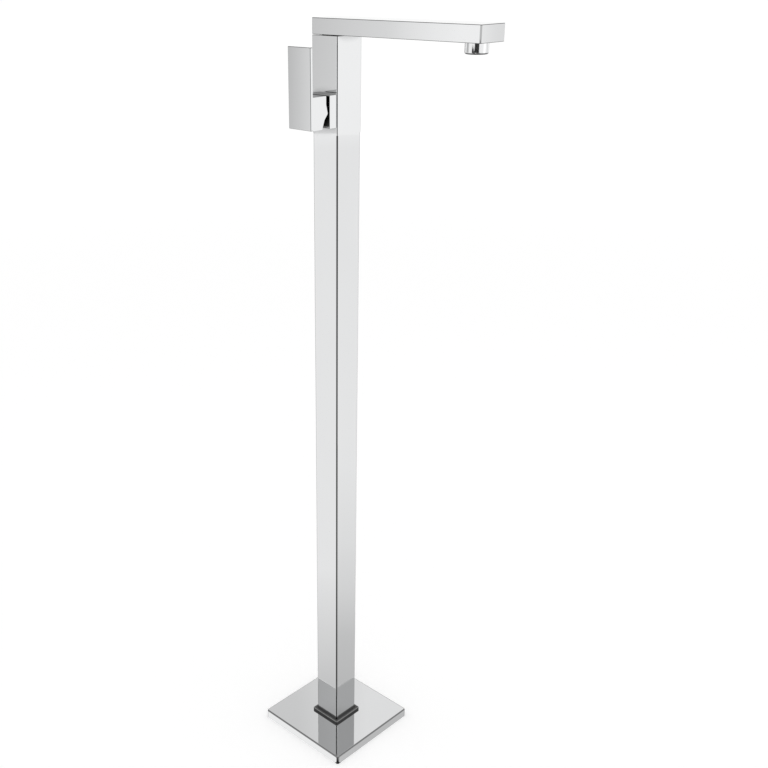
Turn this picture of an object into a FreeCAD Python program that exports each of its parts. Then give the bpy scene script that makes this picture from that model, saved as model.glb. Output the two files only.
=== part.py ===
import FreeCAD, Part
import math
import os
import re
import Sketcher
from FreeCAD import Placement, Rotation, Vector

# A floor standing bath filler. +Z is up, +X is the way the spout points and -Y is the lever's side.
# The origin is on the column's axis, on the floor. All sizes are in millimetres.

SIZES = [
    # the whole, from the floor up
    ("overall_height", 997.0),
    ("spout_thick", 18.0),
    ("seam_gap", 0.6),
    ("body_height", 109.2),
    # floor flange and the stub that carries the column
    ("flange_side", 120.0),
    ("flange_thick", 4.0),
    ("flange_corner", 8.0),
    ("bolt_spacing", 90.0),
    ("bolt_hole_dia", 9.0),
    ("passage_dia", 30.0),
    ("spigot_rise", 70.0),
    ("spigot_wall", 2.9),
    # cover plate and its collar
    ("cover_side", 150.0),
    ("cover_rise", 13.0),
    ("cover_wall", 1.5),
    ("cover_corner", 4.0),
    ("cover_edge_round", 2.0),
    ("collar_side", 49.5),
    ("collar_rise", 4.0),
    ("collar_edge_round", 1.0),
    ("neck_side", 45.0),
    ("neck_drop", 3.0),
    # column
    ("column_side", 40.0),
    ("column_wall", 2.0),
    ("column_corner", 2.0),
    # fits: gaps on each side
    ("slip_gap", 0.1),
    ("running_gap", 0.05),
    ("travel_gap", 0.3),
    # how far a cutting shape runs past the face that it opens
    ("cut_overrun", 1.0),
    # grub screws in the column's walls
    ("grub_dia", 5.0),
    ("grub_reach", 6.0),
    ("grub_socket", 2.5),
    ("grub_socket_depth", 2.0),
    ("foot_screw_rise", 4.0),
    # mixer block and its boss
    ("body_side", 40.4),
    ("body_corner", 1.0),
    ("body_edge_round", 0.5),
    ("body_spigot_drop", 15.0),
    ("boss_width", 38.0),
    ("boss_rise", 36.6),
    ("boss_depth", 11.6),
    ("axis_rise", 27.6),
    # supply pipes
    ("pipe_dia", 12.0),
    ("pipe_wall", 1.0),
    ("pipe_offset", 7.8),
    ("union_end_rise", 1.0),
    ("union_stub_reach", 15.0),
    ("union_stub_bore", 9.0),
    ("union_socket_dia", 14.0),
    ("union_socket_rise", 12.0),
    ("union_floor", 2.0),
    ("tail_hex", 13.0),
    ("tail_hex_rise", 6.5),
    ("tail_thread_dia", 10.0),
    ("tail_thread_reach", 10.0),
    ("tail_bore", 7.0),
    ("tail_socket_dia", 14.4),
    ("tail_socket_rise", 12.0),
    ("tail_seal_thick", 1.5),
    ("tail_seal_width", 1.2),
    # cartridge and its seat
    ("cartridge_dia", 25.2),
    ("cartridge_depth", 26.0),
    ("nut_dia", 28.0),
    ("nut_depth", 6.0),
    ("nut_rise", 5.0),
    ("nut_bore", 17.2),
    ("inlet_port_dia", 4.2),
    ("inlet_port_across", 4.4),
    ("inlet_port_rise", 2.9),
    ("outlet_port_dia", 5.0),
    ("outlet_port_drop", 4.5),
    ("outlet_bore_dia", 8.0),
    ("outlet_bore_back", 5.0),
    ("base_thick", 4.0),
    ("seal_wire", 1.5),
    ("disc_thick", 3.0),
    ("fixed_disc_dia", 21.6),
    ("moving_disc_dia", 18.4),
    ("disc_travel", 3.5),
    ("mixing_recess_dia", 7.2),
    ("mixing_recess_drop", 1.2),
    ("mixing_recess_depth", 1.5),
    ("carrier_thick", 4.0),
    ("housing_wall", 1.4),
    ("housing_lid", 2.0),
    ("rotor_neck_dia", 15.8),
    ("rotor_neck_reach", 7.5),
    # lever stem and its pivot
    ("pivot_depth", 4.1),
    ("pivot_pin_dia", 3.0),
    ("stem_thick", 6.0),
    ("stem_arm", 8.6),
    ("stem_ball_dia", 4.8),
    ("stem_waist_dia", 3.6),
    ("stem_shank", 8.0),
    ("stem_shoulder", 3.2),
    ("stem_reach", 20.0),
    ("slot_rise", 14.0),
    # lever hub and plate
    ("lever_width", 36.0),
    ("hub_gap", 4.5),
    ("hub_nose_gap", 2.0),
    ("hub_nose_drop", 1.3),
    ("hub_relief_gap", 7.4),
    ("hub_relief_drop", 8.0),
    ("hub_foot_gap", 11.0),
    ("hub_depth", 26.3),
    ("hub_recess_dia", 22.0),
    ("hub_recess_depth", 9.9),
    ("plate_rise", 90.0),
    ("plate_thick", 3.1),
    ("plate_edge_round", 0.6),
    ("plate_corner", 0.8),
    ("set_screw_dia", 5.0),
    ("set_screw_reach", 10.0),
    ("set_screw_back", 16.0),
    ("plate_screw_dia", 3.0),
    ("plate_screw_head_dia", 5.5),
    ("plate_screw_head_rise", 2.0),
    ("plate_screw_across", 7.5),
    ("plate_screw_bite", 2.0),
    # spout
    ("spout_side", 41.0),
    ("spout_end_reach", 218.0),
    ("spout_wall", 2.0),
    ("spout_corner", 2.0),
    ("spout_edge_round", 0.7),
    ("socket_boss_dia", 26.0),
    ("socket_boss_rise", 6.0),
    ("spout_tail_dia", 20.0),
    ("spout_tail_drop", 30.0),
    ("spout_tail_bore", 12.0),
    ("spout_neck_dia", 18.0),
    ("o_ring_wire", 2.0),
    ("upper_ring_drop", 6.0),
    ("lower_ring_drop", 24.0),
    ("stop_groove_drop", 15.0),
    ("stop_groove_depth", 1.6),
    ("stop_screw_dia", 4.0),
    ("swivel_half_turn", 90.0),
    ("washer_dia", 34.0),
    # nozzle
    ("nozzle_reach", 198.4),
    ("nozzle_dia", 25.0),
    ("nozzle_rise", 11.8),
    ("nozzle_edge_round", 2.0),
    ("nozzle_thread_dia", 22.0),
    ("nozzle_thread_rise", 7.0),
    ("nozzle_bore", 19.6),
    ("nozzle_mouth", 17.2),
    ("nozzle_lip", 2.0),
    ("nozzle_seal_thick", 1.5),
    ("nozzle_boss_dia", 28.0),
    ("insert_rise", 12.3),
    ("insert_hole", 1.6),
    ("insert_pitch", 2.6),
]

doc = FreeCAD.newDocument("bath_filler")
sheet = doc.addObject("Spreadsheet::Sheet", "Sizes")
for row, (alias, value) in enumerate(SIZES, start=1):
    sheet.set("A%d" % row, alias.replace("_", " "))
    sheet.set("B%d" % row, str(value))
    sheet.setAlias("B%d" % row, alias)
doc.recompute()

ALIASES = re.compile(r"\b(" + "|".join(alias for alias, _ in SIZES) + r")\b")

# Levels and depths that follow from the sizes above.
SPOUT_UNDER = "(overall_height - spout_thick)"
BODY_TOP = "(overall_height - spout_thick - seam_gap)"
BODY_BOTTOM = "(overall_height - spout_thick - seam_gap - body_height)"
BODY_SPIGOT_END = "(%s - body_spigot_drop)" % BODY_BOTTOM
AXIS_LEVEL = "(%s + axis_rise)" % BODY_BOTTOM
SPIGOT_SIDE = "(column_side - 2 * column_wall - 2 * slip_gap)"
BOSS_FACE = "(-body_side / 2 - boss_depth)"
SEAT = "(%s + cartridge_depth)" % BOSS_FACE
FIXED_DISC_REAR = "(%s - base_thick)" % SEAT
MOVING_DISC_REAR = "(%s - disc_thick - running_gap)" % FIXED_DISC_REAR
CARRIER_REAR = "(%s - disc_thick)" % MOVING_DISC_REAR
CARRIER_FRONT = "(%s - carrier_thick)" % CARRIER_REAR
ROTOR_REAR = "(%s - travel_gap)" % CARRIER_FRONT
HOUSING_FRONT = "(%s + nut_rise)" % BOSS_FACE
HOUSING_LID_REAR = "(%s + housing_lid)" % HOUSING_FRONT
HOUSING_BORE = "(cartridge_dia - 2 * housing_wall)"
PIVOT = "(%s + pivot_depth)" % BOSS_FACE
NECK_FRONT = "(%s - rotor_neck_reach)" % HOUSING_LID_REAR
HUB_FRONT = "(%s - hub_depth)" % BOSS_FACE
RECESS_FLOOR = "(%s - hub_recess_depth)" % BOSS_FACE
SHANK_REAR = "(%s - stem_shoulder)" % NECK_FRONT
STEM_END = "(%s - stem_reach)" % NECK_FRONT
INLET_LEVEL = "(%s + inlet_port_rise)" % AXIS_LEVEL
OUTLET_LEVEL = "(%s - outlet_port_drop)" % AXIS_LEVEL
PLATE_BOTTOM = "(%s - boss_rise / 2)" % AXIS_LEVEL
TAIL_END = "(%s - spout_tail_drop)" % SPOUT_UNDER
NOZZLE_BOTTOM = "(%s - nozzle_rise)" % SPOUT_UNDER
NOZZLE_SEAL_LEVEL = "(%s + nozzle_thread_rise)" % SPOUT_UNDER
UNION_SOCKET_BOTTOM = "(union_end_rise + union_stub_reach)"
PIPE_END = "(%s + union_floor)" % UNION_SOCKET_BOTTOM
TAIL_SHOULDER = "(%s - tail_seal_thick)" % BODY_SPIGOT_END
TAIL_HEX_BOTTOM = "(%s - tail_hex_rise)" % TAIL_SHOULDER
TAIL_SOCKET_BOTTOM = "(%s - tail_socket_rise)" % TAIL_HEX_BOTTOM
FOOT_SCREW_LEVEL = "(flange_thick + foot_screw_rise)"
HEAD_SCREW_LEVEL = "(%s - body_spigot_drop / 2)" % BODY_BOTTOM
STOP_LEVEL = "(%s - stop_groove_drop)" % SPOUT_UNDER
GROOVE_RADIUS = "(spout_tail_dia / 2 - stop_groove_depth)"

# The way a round piece points: up, out on the lever's side, or across towards the spout's end.
UPWARD = Vector(0, 0, 1)
UP = Rotation()
OUT = Rotation(Vector(1, 0, 0), 90)
ACROSS = Rotation(Vector(0, 1, 0), 90)


def full(text):
    """The text of a size with each alias written in full for the document."""
    return ALIASES.sub(r"Sizes.\1", str(text))


def value(text):
    """The number that the text of a size comes to."""
    return float(sheet.evalExpression(full(text)))


def place(item, x, y, z, turn=UP):
    item.Placement = Placement(Vector(value(x), value(y), value(z)), turn)
    item.setExpression("Placement.Base.x", full(x))
    item.setExpression("Placement.Base.y", full(y))
    item.setExpression("Placement.Base.z", full(z))


def box(name, low, size):
    """A block from its lowest corner and its three sizes."""
    item = doc.addObject("Part::Box", name)
    for side, text in zip(("Length", "Width", "Height"), size):
        item.setExpression(side, full(text))
    place(item, *low)
    return item


def block(name, across, deep, bottom, top, y_middle="0", x_middle="0"):
    """A block centred on an upright line, between two levels."""
    low = ("%s - (%s) / 2" % (x_middle, across), "%s - (%s) / 2" % (y_middle, deep), bottom)
    return box(name, low, (across, deep, "(%s) - (%s)" % (top, bottom)))


def cylinder(name, diameter, length, x="0", y="0", z="0", turn=UP):
    item = doc.addObject("Part::Cylinder", name)
    item.setExpression("Radius", full("(%s) / 2" % diameter))
    item.setExpression("Height", full(length))
    place(item, x, y, z, turn)
    return item


def drum(name, diameter, rear, front, x="0", z=AXIS_LEVEL):
    """A round piece on the lever's side that runs outwards from its rear to its front."""
    return cylinder(name, diameter, "(%s) - (%s)" % (rear, front), x, rear, z, OUT)


def ring(name, middle_dia, wire_dia, x="0", y="0", z="0", turn=UP):
    item = doc.addObject("Part::Torus", name)
    item.setExpression("Radius1", full("(%s) / 2" % middle_dia))
    item.setExpression("Radius2", full("(%s) / 2" % wire_dia))
    place(item, x, y, z, turn)
    return item


def fuse(name, *items):
    item = doc.addObject("Part::MultiFuse", name)
    item.Shapes = list(items)
    return item


def cut(name, base, *tools):
    tool = tools[0] if len(tools) == 1 else fuse(name + "_tools", *tools)
    item = doc.addObject("Part::Cut", name)
    item.Base = base
    item.Tool = tool
    return item


def group(name, *items):
    """Separate solids of one kind under one name."""
    item = doc.addObject("Part::Compound", name)
    item.Links = list(items)
    return item


def soften(name, base, radius, test):
    """Rounds those edges of a plain solid that pass the test."""
    doc.recompute()
    item = doc.addObject("Part::Fillet", name)
    item.Base = base
    size = value(radius)
    item.Edges = [(n, size, size) for n, edge in enumerate(base.Shape.Edges, start=1) if test(edge)]
    return item


def new_body(name):
    return doc.addObject("PartDesign::Body", name)


def new_sketch(body, name, role, lift="0"):
    """A sketch on one of the body's own base planes, lifted along the plane's normal."""
    sketch = body.newObject("Sketcher::SketchObject", name)
    plane = [item for item in body.Origin.OriginFeatures if item.Role == role][0]
    sketch.AttachmentSupport = [(plane, "")]
    sketch.MapMode = "FlatFace"
    sketch.setExpression("AttachmentOffset.Base.z", full(lift))
    return sketch


def bind(sketch, kind, *place_and_text):
    *place_of, text = place_and_text
    index = sketch.addConstraint(Sketcher.Constraint(kind, *place_of, value(text)))
    sketch.setExpression("Constraints[%d]" % index, full(text))


def outline(sketch, points):
    """A closed outline of straight sides, each corner bound to its two sizes."""
    first = sketch.GeometryCount
    spots = [Vector(value(x), value(y), 0) for x, y in points]
    for start, end in zip(spots, spots[1:] + spots[:1]):
        sketch.addGeometry(Part.LineSegment(start, end), False)
    for step, (x, y) in enumerate(points):
        before = first + (step - 1) % len(points)
        sketch.addConstraint(Sketcher.Constraint("Coincident", before, 2, first + step, 1))
        bind(sketch, "DistanceX", first + step, 1, x)
        bind(sketch, "DistanceY", first + step, 1, y)


def square(sketch, across, deep):
    outline(
        sketch,
        [
            ("-(%s) / 2" % across, "-(%s) / 2" % deep),
            ("(%s) / 2" % across, "-(%s) / 2" % deep),
            ("(%s) / 2" % across, "(%s) / 2" % deep),
            ("-(%s) / 2" % across, "(%s) / 2" % deep),
        ],
    )


def circle(sketch, diameter, x="0", y="0"):
    centre = Vector(value(x), value(y), 0)
    index = sketch.addGeometry(Part.Circle(centre, Vector(0, 0, 1), value(diameter) / 2), False)
    bind(sketch, "Radius", index, "(%s) / 2" % diameter)
    bind(sketch, "DistanceX", index, 3, x)
    bind(sketch, "DistanceY", index, 3, y)


def pad(body, sketch, name, length):
    item = body.newObject("PartDesign::Pad", name)
    item.Profile = sketch
    item.setExpression("Length", full(length))
    doc.recompute()
    return item


def pocket(body, sketch, name, depth):
    """A pocket cut the way the sketch's plane faces; it has to take metal away."""
    before = body.Shape.Volume
    item = body.newObject("PartDesign::Pocket", name)
    item.Profile = sketch
    item.Reversed = True
    item.setExpression("Length", full(depth))
    doc.recompute()
    if not body.Shape.Volume < before:
        raise ValueError(name + " cuts nothing")
    return item


def round_edges(body, name, radius, test):
    doc.recompute()
    base = body.Tip
    picked = ["Edge%d" % n for n, edge in enumerate(base.Shape.Edges, start=1) if test(edge)]
    item = body.newObject("PartDesign::Fillet", name)
    item.Base = (base, picked)
    item.setExpression("Radius", full(radius))
    doc.recompute()
    return item


def runs_along(edge, axis):
    """Whether an edge is straight and runs along X, Y or Z."""
    if not isinstance(edge.Curve, Part.Line):
        return False
    ends = edge.Vertexes[-1].Point - edge.Vertexes[0].Point
    return abs(abs(ends.normalize()[axis]) - 1) < 1e-6


def at_level(edge, axis, text):
    """Whether an edge lies whole at one place along X, Y or Z."""
    spot = value(text)
    return all(abs(vertex.Point[axis] - spot) < 1e-4 for vertex in edge.Vertexes)


def upright(edge):
    return runs_along(edge, 2)


# ---------------------------------------------------------------- foot


def make_floor_flange():
    body = new_body("floor_flange")
    plan = new_sketch(body, "flange_plan", "XY_Plane")
    square(plan, "flange_side", "flange_side")
    circle(plan, "passage_dia")
    pad(body, plan, "flange_plate", "flange_thick")
    holes = new_sketch(body, "flange_hole_plan", "XY_Plane")
    circle(holes, "bolt_hole_dia", "-bolt_spacing / 2", "-bolt_spacing / 2")
    hole = pocket(body, holes, "flange_hole", "flange_thick")
    ring_of_holes = body.newObject("PartDesign::PolarPattern", "flange_hole_ring")
    ring_of_holes.Originals = [hole]
    upright_axis = [item for item in body.Origin.OriginFeatures if item.Role == "Z_Axis"][0]
    ring_of_holes.Axis = (upright_axis, [""])
    ring_of_holes.Angle = 360
    ring_of_holes.Occurrences = 4
    body.Tip = ring_of_holes
    round_edges(body, "flange_corners", "flange_corner", upright)
    return body


def make_column_spigot():
    body = new_body("column_spigot")
    plan = new_sketch(body, "spigot_plan", "XY_Plane", "flange_thick")
    square(plan, SPIGOT_SIDE, SPIGOT_SIDE)
    inner = "(%s - 2 * spigot_wall)" % SPIGOT_SIDE
    square(plan, inner, inner)
    pad(body, plan, "spigot_tube", "spigot_rise")
    holes = new_sketch(body, "spigot_screw_plan", "YZ_Plane", "-column_side / 2")
    circle(holes, "grub_dia + 2 * running_gap", "0", FOOT_SCREW_LEVEL)
    pocket(body, holes, "spigot_screw_holes", "column_side")
    return body


def make_column_tube():
    body = new_body("column_tube")
    plan = new_sketch(body, "column_plan", "XY_Plane", "flange_thick")
    square(plan, "column_side", "column_side")
    inner = "(column_side - 2 * column_wall)"
    square(plan, inner, inner)
    pad(body, plan, "column_length", "%s - flange_thick" % BODY_BOTTOM)
    half = value("column_side / 2")
    outer = lambda edge: upright(edge) and abs(abs(edge.Vertexes[0].X) - half) < 1e-4
    round_edges(body, "column_corners", "column_corner", outer)
    foot = new_sketch(body, "column_foot_screw_plan", "YZ_Plane", "-column_side / 2")
    circle(foot, "grub_dia + 2 * running_gap", "0", FOOT_SCREW_LEVEL)
    pocket(body, foot, "column_foot_screw_holes", "column_side")
    left = new_sketch(body, "column_rear_screw_plan", "YZ_Plane", "-column_side / 2")
    circle(left, "grub_dia + 2 * running_gap", "0", HEAD_SCREW_LEVEL)
    pocket(body, left, "column_rear_screw_hole", "column_wall")
    back = new_sketch(body, "column_side_screw_plan", "XZ_Plane", "-column_side / 2")
    circle(back, "grub_dia + 2 * running_gap", "0", HEAD_SCREW_LEVEL)
    pocket(body, back, "column_side_screw_hole", "column_wall")
    return body


def grub_screw(name, x, y, z, turn, length="grub_reach", diameter="grub_dia"):
    """A screw with no head, flush with the wall, and a socket for its key."""
    shank = cylinder(name + "_shank", diameter, length, x, y, z, turn)
    socket = cylinder(name + "_socket", "grub_socket", "grub_socket_depth", x, y, z, turn)
    return cut(name, shank, socket)


def make_column_screws():
    across_back = Rotation(Vector(0, 1, 0), -90)
    foot_reach = "(column_wall + slip_gap + spigot_wall)"
    group(
        "column_foot_screws",
        grub_screw("foot_screw_left", "-column_side / 2", "0", FOOT_SCREW_LEVEL, ACROSS, foot_reach),
        grub_screw("foot_screw_right", "column_side / 2", "0", FOOT_SCREW_LEVEL, across_back, foot_reach),
    )
    group(
        "column_head_screws",
        grub_screw("head_screw_rear", "-column_side / 2", "0", HEAD_SCREW_LEVEL, ACROSS),
        grub_screw("head_screw_side", "0", "column_side / 2", HEAD_SCREW_LEVEL, OUT),
    )


def make_floor_cover_plate():
    body = new_body("floor_cover_plate")
    plan = new_sketch(body, "cover_plan", "XY_Plane")
    square(plan, "cover_side", "cover_side")
    pad(body, plan, "cover_block", "cover_rise")
    round_edges(body, "cover_corners", "cover_corner", upright)
    round_edges(body, "cover_top_edge", "cover_edge_round", lambda edge: at_level(edge, 2, "cover_rise"))
    hollow = new_sketch(body, "cover_hollow_plan", "XY_Plane")
    inner = "(cover_side - 2 * cover_wall)"
    square(hollow, inner, inner)
    pocket(body, hollow, "cover_hollow", "cover_rise - cover_wall")
    inner_half = value("cover_side / 2 - cover_wall")
    inside = lambda edge: upright(edge) and abs(abs(edge.Vertexes[0].X) - inner_half) < 1e-4
    round_edges(body, "cover_inner_corners", "cover_corner - cover_wall", inside)
    opening = new_sketch(body, "cover_opening_plan", "XY_Plane")
    square(opening, "neck_side", "neck_side")
    pocket(body, opening, "cover_opening", "cover_rise")
    return body


def make_cover_seal_collar():
    """The collar's flange lies on the cover plate and its neck fills the plate's opening."""
    body = new_body("cover_seal_collar")
    plan = new_sketch(body, "collar_plan", "XY_Plane", "cover_rise")
    square(plan, "collar_side", "collar_side")
    pad(body, plan, "collar_flange", "collar_rise")
    round_edges(body, "collar_corners", "column_corner", upright)
    top = "cover_rise + collar_rise"
    round_edges(body, "collar_top_edge", "collar_edge_round", lambda edge: at_level(edge, 2, top))
    neck = new_sketch(body, "collar_neck_plan", "XY_Plane", "cover_rise - neck_drop")
    square(neck, "neck_side - 2 * running_gap", "neck_side - 2 * running_gap")
    pad(body, neck, "collar_neck", "neck_drop")
    hole = new_sketch(body, "collar_hole_plan", "XY_Plane", "cover_rise - neck_drop")
    square(hole, "column_side + 2 * slip_gap", "column_side + 2 * slip_gap")
    pocket(body, hole, "collar_hole", "neck_drop + collar_rise")
    return body


# ---------------------------------------------------------------- supply


def make_supply(side, sign):
    """A supply pipe, the union at its foot and the threaded tail that joins it to the mixer block."""
    x = "%s pipe_offset" % sign
    pipe_top = "(%s + tail_hex_rise / 2)" % TAIL_HEX_BOTTOM
    pipe_length = "%s - %s" % (pipe_top, PIPE_END)
    wall = cylinder(side + "_pipe_outside", "pipe_dia", pipe_length, x, "0", PIPE_END)
    bore = cylinder(side + "_pipe_bore", "pipe_dia - 2 * pipe_wall", pipe_length, x, "0", PIPE_END)
    cut(side + "_supply_pipe", wall, bore)
    stub = cylinder(side + "_union_stub", "pipe_dia", "union_stub_reach", x, "0", "union_end_rise")
    holder = cylinder(
        side + "_union_holder", "union_socket_dia", "union_socket_rise", x, "0", UNION_SOCKET_BOTTOM
    )
    foot_way = cylinder(
        side + "_union_way", "union_stub_bore", "union_stub_reach + union_floor", x, "0", "union_end_rise"
    )
    recess_dia = "pipe_dia + 2 * running_gap"
    foot_depth = "union_socket_rise - union_floor"
    foot_recess = cylinder(side + "_union_recess", recess_dia, foot_depth, x, "0", PIPE_END)
    cut(side + "_inlet_union", fuse(side + "_union_solid", stub, holder), foot_way, foot_recess)
    socket = cylinder(
        side + "_tail_socket", "tail_socket_dia", "tail_socket_rise", x, "0", TAIL_SOCKET_BOTTOM
    )
    nut = doc.addObject("Part::Prism", side + "_tail_nut")
    nut.Polygon = 6
    nut.setExpression("Circumradius", full("tail_hex / sqrt(3)"))
    nut.setExpression("Height", full("tail_hex_rise"))
    place(nut, x, "0", TAIL_HEX_BOTTOM, Rotation(UPWARD, 30))
    thread_length = "tail_seal_thick + tail_thread_reach"
    thread = cylinder(side + "_tail_thread", "tail_thread_dia", thread_length, x, "0", TAIL_SHOULDER)
    solid = fuse(side + "_tail_solid", socket, nut, thread)
    recess_rise = "%s - %s" % (pipe_top, TAIL_SOCKET_BOTTOM)
    recess = cylinder(side + "_tail_recess", recess_dia, recess_rise, x, "0", TAIL_SOCKET_BOTTOM)
    through = "tail_socket_rise + tail_hex_rise + tail_seal_thick + tail_thread_reach"
    waterway = cylinder(side + "_tail_waterway", "tail_bore", through, x, "0", TAIL_SOCKET_BOTTOM)
    cut(side + "_pipe_tail", solid, recess, waterway)
    seal_dia = "tail_thread_dia + 2 * running_gap"
    outer_dia = seal_dia + " + 2 * tail_seal_width"
    outside = cylinder(side + "_seal_outside", outer_dia, "tail_seal_thick", x, "0", TAIL_SHOULDER)
    inside = cylinder(side + "_seal_inside", seal_dia, "tail_seal_thick", x, "0", TAIL_SHOULDER)
    return cut(side + "_tail_seal", outside, inside)


def make_supplies():
    hot = make_supply("hot", "-")
    cold = make_supply("cold", "+")
    group("pipe_tail_seals", hot, cold)


# ---------------------------------------------------------------- mixer block


def make_mixer_body():
    """The block with its boss and spigot, less the cartridge's seat, the waterways and the screw
    holes."""
    block_solid = block("body_block", "body_side", "body_side", BODY_BOTTOM, BODY_TOP)
    rounded = soften("body_block_corners", block_solid, "body_corner", upright)
    eased = soften(
        "body_block_eased", rounded, "body_edge_round", lambda edge: at_level(edge, 2, BODY_TOP)
    )
    boss = box(
        "body_boss",
        ("-boss_width / 2", BOSS_FACE, "%s - boss_rise / 2" % AXIS_LEVEL),
        ("boss_width", "boss_depth + body_side / 4", "boss_rise"),
    )
    boss_eased = soften(
        "body_boss_eased", boss, "body_edge_round", lambda edge: at_level(edge, 1, BOSS_FACE)
    )
    spigot = block("body_spigot", SPIGOT_SIDE, SPIGOT_SIDE, BODY_SPIGOT_END, BODY_BOTTOM)
    solid = fuse("body_solid", eased, boss_eased, spigot)
    tools = [
        drum("body_nut_bore", "nut_dia", "%s + nut_depth" % BOSS_FACE, BOSS_FACE),
        drum("body_cartridge_bore", "cartridge_dia + 2 * running_gap", SEAT, BOSS_FACE),
        cylinder(
            "body_tail_bore",
            "spout_tail_dia + 2 * running_gap",
            "%s - %s + cut_overrun" % (BODY_TOP, TAIL_END),
            z="%s - cut_overrun" % TAIL_END,
        ),
        drum("body_outlet_port", "outlet_port_dia", "outlet_bore_back", SEAT, z=OUTLET_LEVEL),
        cylinder(
            "body_outlet_bore",
            "outlet_bore_dia",
            "%s - %s + outlet_port_dia" % (TAIL_END, OUTLET_LEVEL),
            y="outlet_bore_back",
            z="%s - outlet_port_dia" % OUTLET_LEVEL,
        ),
        cylinder(
            "body_stop_screw_hole",
            "stop_screw_dia + 2 * running_gap",
            "body_side / 2",
            "-body_side / 2",
            "0",
            STOP_LEVEL,
            ACROSS,
        ),
        cylinder(
            "body_rear_screw_hole",
            "grub_dia + 2 * running_gap",
            "grub_reach",
            "-column_side / 2",
            "0",
            HEAD_SCREW_LEVEL,
            ACROSS,
        ),
        cylinder(
            "body_side_screw_hole",
            "grub_dia + 2 * running_gap",
            "grub_reach",
            "0",
            "column_side / 2",
            HEAD_SCREW_LEVEL,
            OUT,
        ),
    ]
    for side, sign in (("hot", "-"), ("cold", "+")):
        x = "%s pipe_offset" % sign
        thread_dia = "tail_thread_dia + 2 * running_gap"
        thread_rise = "tail_thread_reach + cut_overrun"
        rise = "%s - %s + inlet_port_dia" % (INLET_LEVEL, BODY_SPIGOT_END)
        port_x = "%s inlet_port_across" % sign
        tools += [
            cylinder("body_%s_thread" % side, thread_dia, thread_rise, x, "0", BODY_SPIGOT_END),
            cylinder("body_%s_bore" % side, "tail_bore", rise, x, "0", BODY_SPIGOT_END),
            drum("body_%s_port" % side, "inlet_port_dia", "0", SEAT, port_x, INLET_LEVEL),
        ]
    cut("mixer_body", solid, *tools)


# ---------------------------------------------------------------- cartridge


def port_drums(name, rear, front, wider="0"):
    """The three ways through the cartridge, hot, cold and mixed, between two depths."""
    inlet = "inlet_port_dia + %s" % wider
    outlet = "outlet_port_dia + %s" % wider
    return [
        drum(name + "_hot_way", inlet, rear, front, "-inlet_port_across", INLET_LEVEL),
        drum(name + "_cold_way", inlet, rear, front, "inlet_port_across", INLET_LEVEL),
        drum(name + "_mixed_way", outlet, rear, front, "0", OUTLET_LEVEL),
    ]


def make_cartridge_base():
    solid = drum("base_solid", "cartridge_dia", SEAT, FIXED_DISC_REAR)
    ways = port_drums("base", SEAT, FIXED_DISC_REAR)
    seats = port_drums("base_seal", SEAT, "%s - seal_wire" % SEAT, "2 * seal_wire")
    cut("cartridge_base", solid, *ways, *seats)
    middle = "%s - seal_wire / 2" % SEAT
    inlet = "inlet_port_dia + seal_wire"
    outlet = "outlet_port_dia + seal_wire"
    group(
        "cartridge_port_seals",
        ring("hot_port_seal", inlet, "seal_wire", "-inlet_port_across", middle, INLET_LEVEL, OUT),
        ring("cold_port_seal", inlet, "seal_wire", "inlet_port_across", middle, INLET_LEVEL, OUT),
        ring("mixed_port_seal", outlet, "seal_wire", "0", middle, OUTLET_LEVEL, OUT),
    )


def make_ceramic_discs():
    front = "%s - disc_thick" % FIXED_DISC_REAR
    solid = drum("fixed_disc_solid", "fixed_disc_dia", FIXED_DISC_REAR, front)
    cut("fixed_ceramic_disc", solid, *port_drums("fixed_disc", FIXED_DISC_REAR, front))
    level = "%s - disc_travel / 2" % AXIS_LEVEL
    disc = drum("moving_disc_solid", "moving_disc_dia", MOVING_DISC_REAR, CARRIER_REAR, z=level)
    recess = drum(
        "moving_disc_recess",
        "mixing_recess_dia",
        MOVING_DISC_REAR,
        "%s - mixing_recess_depth" % MOVING_DISC_REAR,
        z="%s - mixing_recess_drop" % level,
    )
    cut("moving_ceramic_disc", disc, recess)
    carrier = drum("carrier_solid", "moving_disc_dia", CARRIER_REAR, CARRIER_FRONT, z=level)
    pocket_side = "(stem_ball_dia + 2 * slip_gap)"
    pocket_depth = "stem_arm + stem_ball_dia / 2 + slip_gap + %s - %s" % (PIVOT, CARRIER_FRONT)
    pocket_box = box(
        "carrier_pocket",
        ("-%s / 2" % pocket_side, CARRIER_FRONT, "%s - %s / 2" % (AXIS_LEVEL, pocket_side)),
        (pocket_side, pocket_depth, pocket_side),
    )
    cut("disc_carrier", carrier, pocket_box)


def make_cartridge_housing():
    solid = drum("housing_solid", "cartridge_dia", FIXED_DISC_REAR, HOUSING_FRONT)
    hollow = drum("housing_hollow", HOUSING_BORE, FIXED_DISC_REAR, HOUSING_LID_REAR)
    mouth = drum("housing_mouth", "rotor_neck_dia + 2 * slip_gap", HOUSING_LID_REAR, HOUSING_FRONT)
    cut("cartridge_housing", solid, hollow, mouth)
    nut = drum("nut_solid", "nut_dia - 2 * running_gap", HOUSING_FRONT, BOSS_FACE)
    nut_hole = drum("nut_hole", "nut_bore", HOUSING_FRONT, BOSS_FACE)
    cut("cartridge_nut", nut, nut_hole)


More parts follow.
